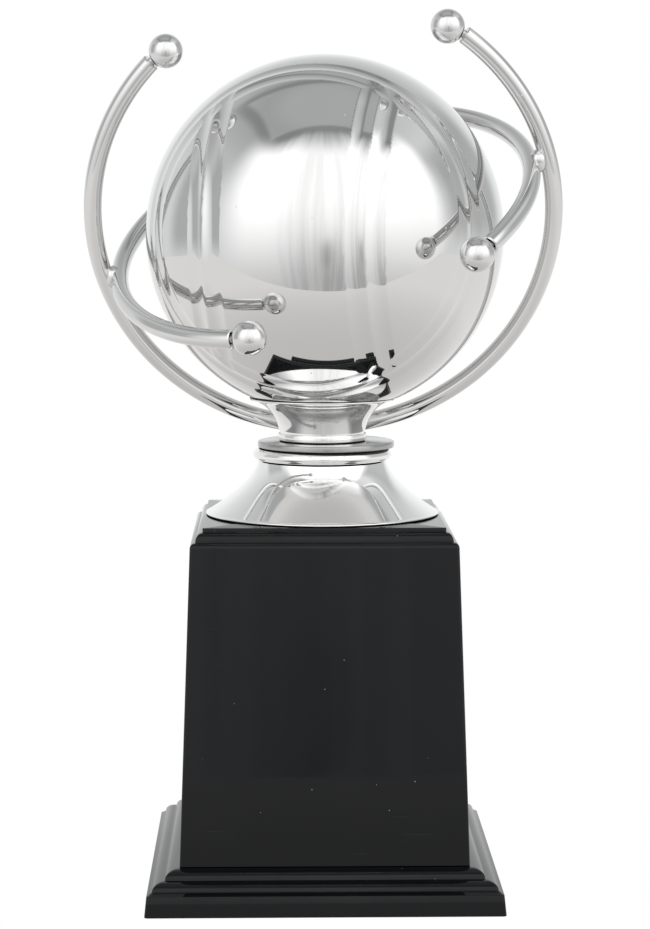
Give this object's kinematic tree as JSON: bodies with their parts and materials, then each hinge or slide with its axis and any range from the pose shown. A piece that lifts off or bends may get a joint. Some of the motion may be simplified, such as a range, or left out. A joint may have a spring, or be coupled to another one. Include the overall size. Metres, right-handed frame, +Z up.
{
  "type": "ball trophy",
  "caption": "Free-standing trophy: a chromed hollow ball on a flared neck, ringed by open rod orbits with ball ends, on a stepped black square pedestal.",
  "frame": {"origin": "middle of the felt face that the trophy stands on, on the axis of the pedestal and the tie rod", "axes": "+Z up along the tie rod, -Y towards the front, +X to the right as seen from the front"},
  "size_m": [0.1767, 0.1427, 0.3235],
  "materials": {
    "black_plastic": "high gloss black",
    "chrome": "mirror polished chrome plate",
    "zinc_steel": "zinc plated, dull",
    "concrete": "cast, rough",
    "hardboard": "pressed board, unfinished",
    "felt": "black felt"
  },
  "bodies": {
    "root": {"plinth": "black_plastic", "tower": "black_plastic", "base_felt": "felt", "base_cover": "hardboard", "ballast": "concrete", "tie_rod": "zinc_steel", "base_washer": "zinc_steel", "base_nut": "zinc_steel", "ball_washer": "zinc_steel", "ball_nut": "zinc_steel", "ball_plug": "zinc_steel", "foot_flare": "chrome", "bead_ring": "chrome", "collar_disc": "chrome", "neck": "chrome", "ball_shell": "chrome", "main_orbit_rod": "chrome", "cross_orbit_rod": "chrome", "main_tip_left": "chrome", "main_tip_right": "chrome", "cross_tip_left": "chrome", "cross_tip_right": "chrome", "main_stud_left": "zinc_steel", "main_stud_right": "zinc_steel", "cross_stud_left": "zinc_steel", "cross_stud_right": "zinc_steel", "weld_left": "chrome", "weld_right": "chrome", "neck_braze": "chrome"}
  },
  "joints": []
}
